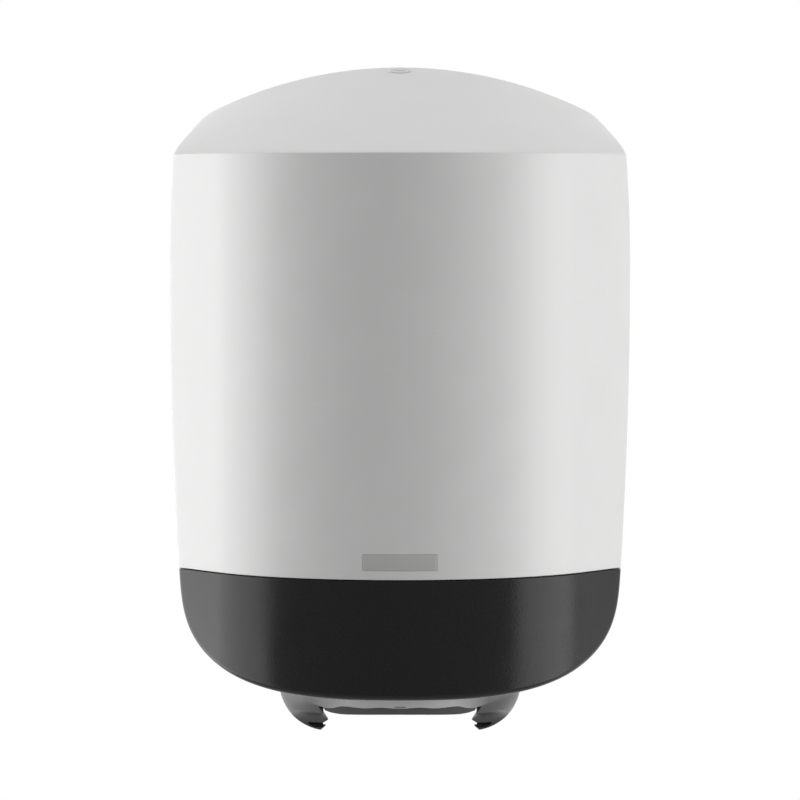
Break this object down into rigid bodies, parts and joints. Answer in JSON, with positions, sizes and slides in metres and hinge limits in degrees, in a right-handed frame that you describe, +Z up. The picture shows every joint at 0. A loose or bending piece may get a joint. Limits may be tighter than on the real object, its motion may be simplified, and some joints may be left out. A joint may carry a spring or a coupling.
{
  "type": "centrefeed roll dispenser",
  "caption": "Wall-hung centrefeed paper roll dispenser with a white front that swings open on low hinges, a dark base and an outlet with slit tearing claws.",
  "frame": {"origin": "on the back face of the wall plate, in the middle of its width, 190 mm above the lowest edge of the base", "axes": "+Z up, -Y out of the wall towards the user, +X to the user's right when facing the front"},
  "size_m": [0.262, 0.2501, 0.3844],
  "materials": {
    "plate": "moulded grey plastic, satin",
    "cover": "white moulded plastic, satin",
    "base": "charcoal plastic with a fine grain",
    "badge": "plain light grey plate, bare",
    "shelf": "moulded grey plastic",
    "nozzle": "dark grey glossy plastic",
    "rubber": "black soft rubber",
    "nylon": "natural nylon",
    "steel": "zinc-plated steel",
    "zinc": "zinc die casting",
    "lock": "pale grey plastic"
  },
  "bodies": {
    "root": {"wall_plate": "plate", "hinge_bush_left": "nylon", "hinge_bush_right": "nylon"},
    "front": {"cover_shell": "cover", "base_shell": "base", "badge_plate": "badge", "roll_shelf": "shelf", "outlet_nozzle": "nozzle", "paper_brake": "rubber", "brake_ring": "plate", "hinge_pin_left": "steel", "hinge_pin_right": "steel", "lock_bezel": "lock", "lock_nut": "zinc", "cover_screw_1": "steel", "cover_screw_2": "steel", "cover_screw_3": "steel", "cover_screw_4": "steel", "shelf_screw_1": "steel", "shelf_screw_2": "steel", "shelf_screw_3": "steel", "shelf_screw_4": "steel", "nozzle_screw_1": "steel", "nozzle_screw_2": "steel", "nozzle_screw_3": "steel", "ring_screw_1": "steel", "ring_screw_2": "steel", "ring_screw_3": "steel"},
    "lock": {"lock_barrel": "lock", "lock_cam": "zinc", "cam_screw": "steel"}
  },
  "joints": [
    {"name": "front_hinge", "type": "hinge", "parent": "root", "child": "front", "pos_m": [0, -0.014, -0.1805], "axis": [1, 0, 0], "range_deg": [0, 50]},
    {"name": "lock_turn", "type": "hinge", "parent": "front", "child": "lock", "pos_m": [0, -0.0135, 0.16143], "axis": [0, -0.2097, 0.9778], "range_deg": [-90, 0]}
  ]
}
